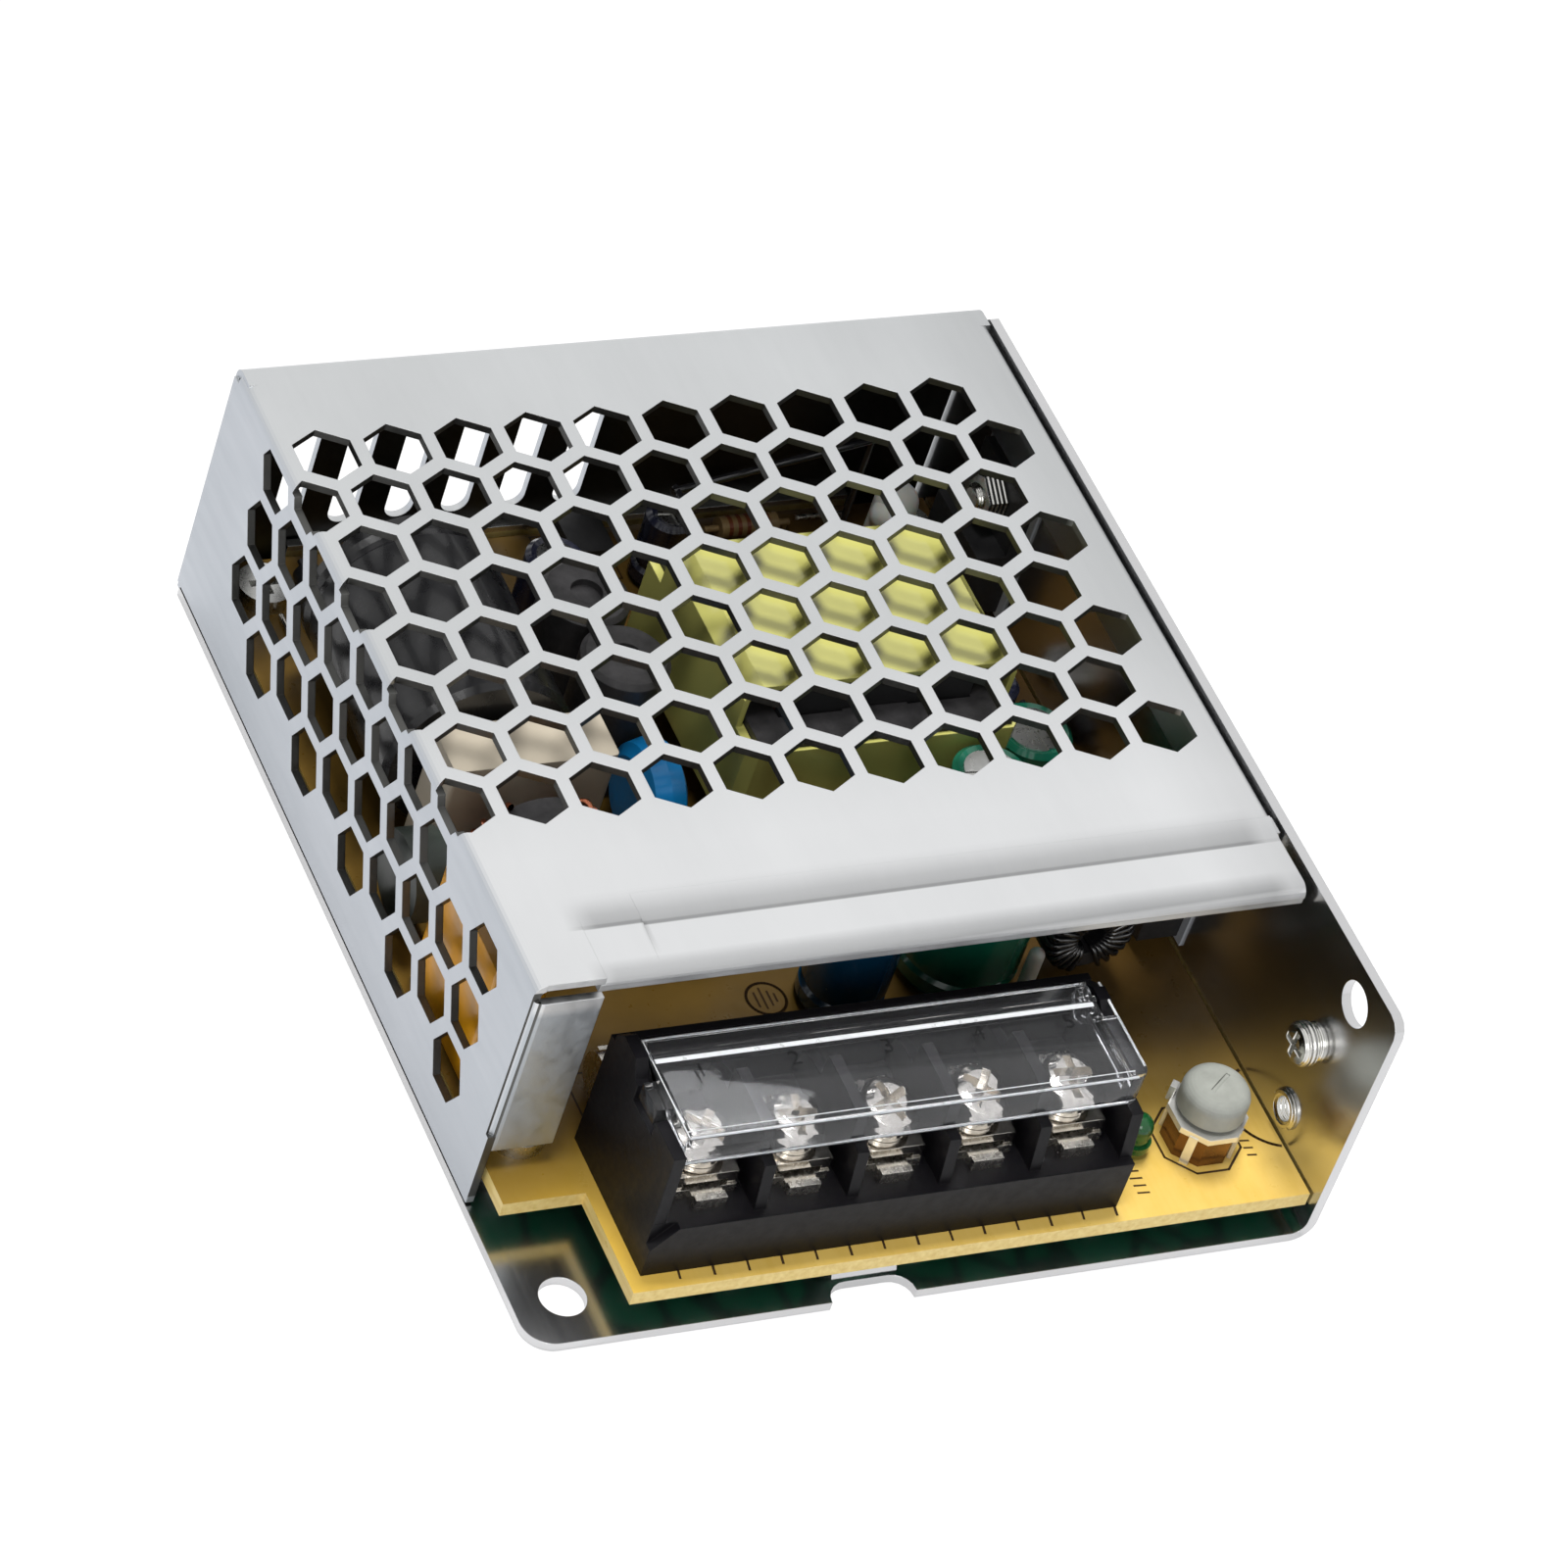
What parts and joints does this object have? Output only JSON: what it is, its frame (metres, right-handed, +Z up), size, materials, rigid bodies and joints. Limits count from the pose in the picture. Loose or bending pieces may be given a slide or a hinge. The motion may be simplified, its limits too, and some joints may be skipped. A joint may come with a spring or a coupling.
{
  "type": "enclosed switching power supply",
  "caption": "Enclosed power supply: folded sheet chassis, hexagon mesh cover, screw terminal block with a clear lid, trimmer and lamp.",
  "frame": {"origin": "centre of the footprint on the resting face, the outside of the chassis floor", "axes": "+X towards the plain chassis wall, +Y towards the vented back, away from the terminals, +Z up"},
  "size_m": [0.082, 0.099, 0.03],
  "materials": {
    "bright_sheet": "bright rolled sheet",
    "plated_sheet": "zinc plated sheet, satin",
    "zinc_screw": "zinc plated",
    "laminate": "phenolic paper laminate, satin",
    "clear_film": "thin milky sheet",
    "black_moulding": "moulded black",
    "clear_lid": "clear moulded plastic",
    "tinned_brass": "tin plated",
    "nickel_steel": "nickel plated",
    "brown_body": "moulded brown",
    "bright_contact": "plated spring steel",
    "knob_grey": "moulded light grey",
    "green_lens": "tinted clear",
    "fuse_glass": "clear",
    "amber_film": "glossy amber",
    "cream_box": "matt cream",
    "ferrite": "sintered, matt",
    "enamelled_copper": "enamelled wire",
    "black_epoxy": "moulded epoxy, matt",
    "black_sleeve": "shrunk sleeve",
    "green_sleeve": "shrunk sleeve",
    "blue_sleeve": "shrunk sleeve",
    "grey_disc": "lacquered",
    "blue_disc": "lacquered",
    "yellow_tape": "polyester tape",
    "grey_pad": "silicone pad",
    "black_wire": "insulated wire",
    "resistor_body": "lacquered",
    "diode_body": "moulded",
    "tinned_wire": "tinned",
    "white_silicone": "cured silicone"
  },
  "bodies": {
    "case": {"chassis": "bright_sheet", "cover": "plated_sheet", "cover_screws": "zinc_screw", "wall_screws": "zinc_screw", "wall_nuts": "zinc_screw", "circuit_board": "laminate", "board_screws": "zinc_screw", "insulation_film": "clear_film", "terminal_housing": "black_moulding", "terminal_plates": "tinned_brass", "trimmer_base": "brown_body", "trimmer_contact": "bright_contact", "status_led": "green_lens", "fuse_tube": "fuse_glass", "fuse_caps": "tinned_brass", "fuse_clips": "tinned_brass", "x_capacitor": "amber_film", "line_capacitor": "cream_box", "choke_core": "ferrite", "choke_windings": "enamelled_copper", "choke_stand": "black_moulding", "bridge_rectifier": "black_epoxy", "bulk_capacitor": "black_sleeve", "surge_disc": "grey_disc", "y_capacitor": "blue_disc", "transformer_core": "ferrite", "transformer_bobbin": "black_moulding", "transformer_winding": "enamelled_copper", "transformer_tape": "yellow_tape", "transistor": "black_epoxy", "output_diode": "black_epoxy", "thermal_pads": "grey_pad", "output_capacitors": "green_sleeve", "aux_capacitors": "black_sleeve", "filter_capacitor": "blue_sleeve", "coil_core": "ferrite", "coil_winding": "black_wire", "optocoupler": "black_epoxy", "control_chip": "black_epoxy", "filter_inductors": "ferrite", "resistors": "resistor_body", "small_diodes": "diode_body", "jumper_wires": "tinned_wire", "flying_lead": "black_wire", "silicone_blobs": "white_silicone", "solder_joints": "tinned_wire"},
    "lid": {"terminal_lid": "clear_lid"},
    "trimmer": {"trimmer_knob": "knob_grey"},
    "clamp_1": {"clamp_washer_1": "nickel_steel"},
    "screw_1": {"terminal_screw_1": "nickel_steel"},
    "clamp_2": {"clamp_washer_2": "nickel_steel"},
    "screw_2": {"terminal_screw_2": "nickel_steel"},
    "clamp_3": {"clamp_washer_3": "nickel_steel"},
    "screw_3": {"terminal_screw_3": "nickel_steel"},
    "clamp_4": {"clamp_washer_4": "nickel_steel"},
    "screw_4": {"terminal_screw_4": "nickel_steel"},
    "clamp_5": {"clamp_washer_5": "nickel_steel"},
    "screw_5": {"terminal_screw_5": "nickel_steel"}
  },
  "joints": [
    {"name": "lid_hinge", "type": "hinge", "parent": "case", "child": "lid", "pos_m": [0, -0.0335, 0.0186], "axis": [-1, 0, 0], "range_deg": [0, 80]},
    {"name": "trimmer_turn", "type": "hinge", "parent": "case", "child": "trimmer", "pos_m": [0.0312, -0.0399, 0.0112], "axis": [0, 0, 1], "range_deg": [-130, 130]},
    {"name": "lift_1", "type": "slide", "parent": "case", "child": "clamp_1", "axis": [0, 0, 1], "range_m": [0, 0.0024]},
    {"name": "turn_1", "type": "hinge", "parent": "clamp_1", "child": "screw_1", "pos_m": [-0.024, -0.0396, 0.0155], "axis": [0, 0, 1], "range_deg": [0, 1440]},
    {"name": "lift_2", "type": "slide", "parent": "case", "child": "clamp_2", "axis": [0, 0, 1], "range_m": [0, 0.0024]},
    {"name": "turn_2", "type": "hinge", "parent": "clamp_2", "child": "screw_2", "pos_m": [-0.0145, -0.0396, 0.0155], "axis": [0, 0, 1], "range_deg": [0, 1440]},
    {"name": "lift_3", "type": "slide", "parent": "case", "child": "clamp_3", "axis": [0, 0, 1], "range_m": [0, 0.0024]},
    {"name": "turn_3", "type": "hinge", "parent": "clamp_3", "child": "screw_3", "pos_m": [-0.005, -0.0396, 0.0155], "axis": [0, 0, 1], "range_deg": [0, 1440]},
    {"name": "lift_4", "type": "slide", "parent": "case", "child": "clamp_4", "axis": [0, 0, 1], "range_m": [0, 0.0024]},
    {"name": "turn_4", "type": "hinge", "parent": "clamp_4", "child": "screw_4", "pos_m": [0.0045, -0.0396, 0.0155], "axis": [0, 0, 1], "range_deg": [0, 1440]},
    {"name": "lift_5", "type": "slide", "parent": "case", "child": "clamp_5", "axis": [0, 0, 1], "range_m": [0, 0.0024]},
    {"name": "turn_5", "type": "hinge", "parent": "clamp_5", "child": "screw_5", "pos_m": [0.014, -0.0396, 0.0155], "axis": [0, 0, 1], "range_deg": [0, 1440]}
  ],
  "couplings": [
    {"joint": "turn_1", "follows": "lift_1", "rad_per_m": 10472},
    {"joint": "turn_2", "follows": "lift_2", "rad_per_m": 10472},
    {"joint": "turn_3", "follows": "lift_3", "rad_per_m": 10472},
    {"joint": "turn_4", "follows": "lift_4", "rad_per_m": 10472},
    {"joint": "turn_5", "follows": "lift_5", "rad_per_m": 10472}
  ]
}
